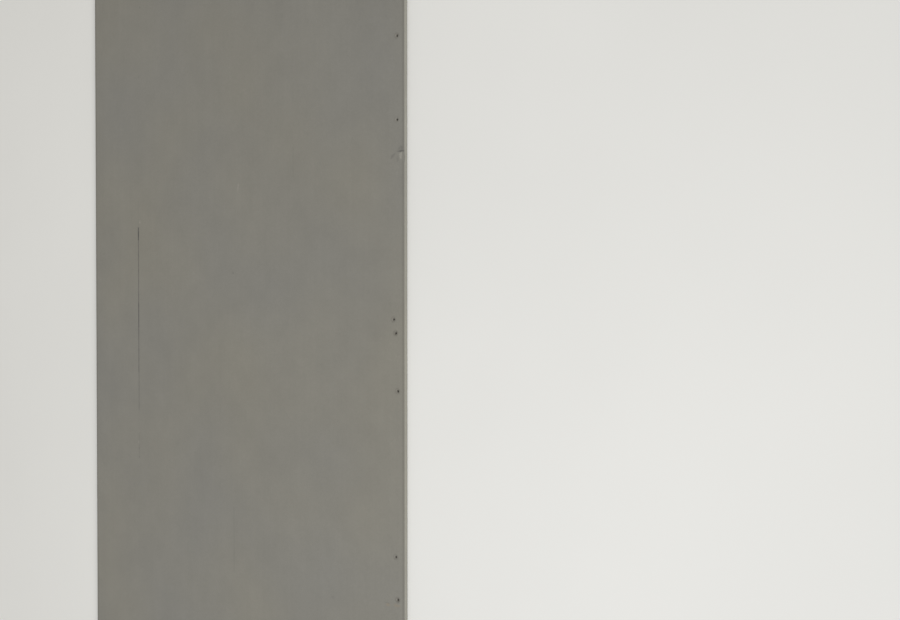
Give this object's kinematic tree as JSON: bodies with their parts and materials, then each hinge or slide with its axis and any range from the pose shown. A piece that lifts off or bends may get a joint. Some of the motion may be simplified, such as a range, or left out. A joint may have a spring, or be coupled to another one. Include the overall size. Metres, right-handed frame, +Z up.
{
  "type": "drywall sheet",
  "caption": "Flat rectangular sheet of paper-faced gypsum wallboard with tapered long edges and countersunk screw holes along one edge, for lining walls and ceilings.",
  "frame": {"origin": "middle of the back face, which lies on the floor", "axes": "+X across the width, towards the edge with the screw holes; +Y along the length; +Z up, out of the face"},
  "size_m": [1.2, 2.5, 0.0125],
  "materials": {
    "face_paper": "matte"
  },
  "bodies": {
    "root": {"drywall_sheet": "face_paper"}
  },
  "joints": []
}
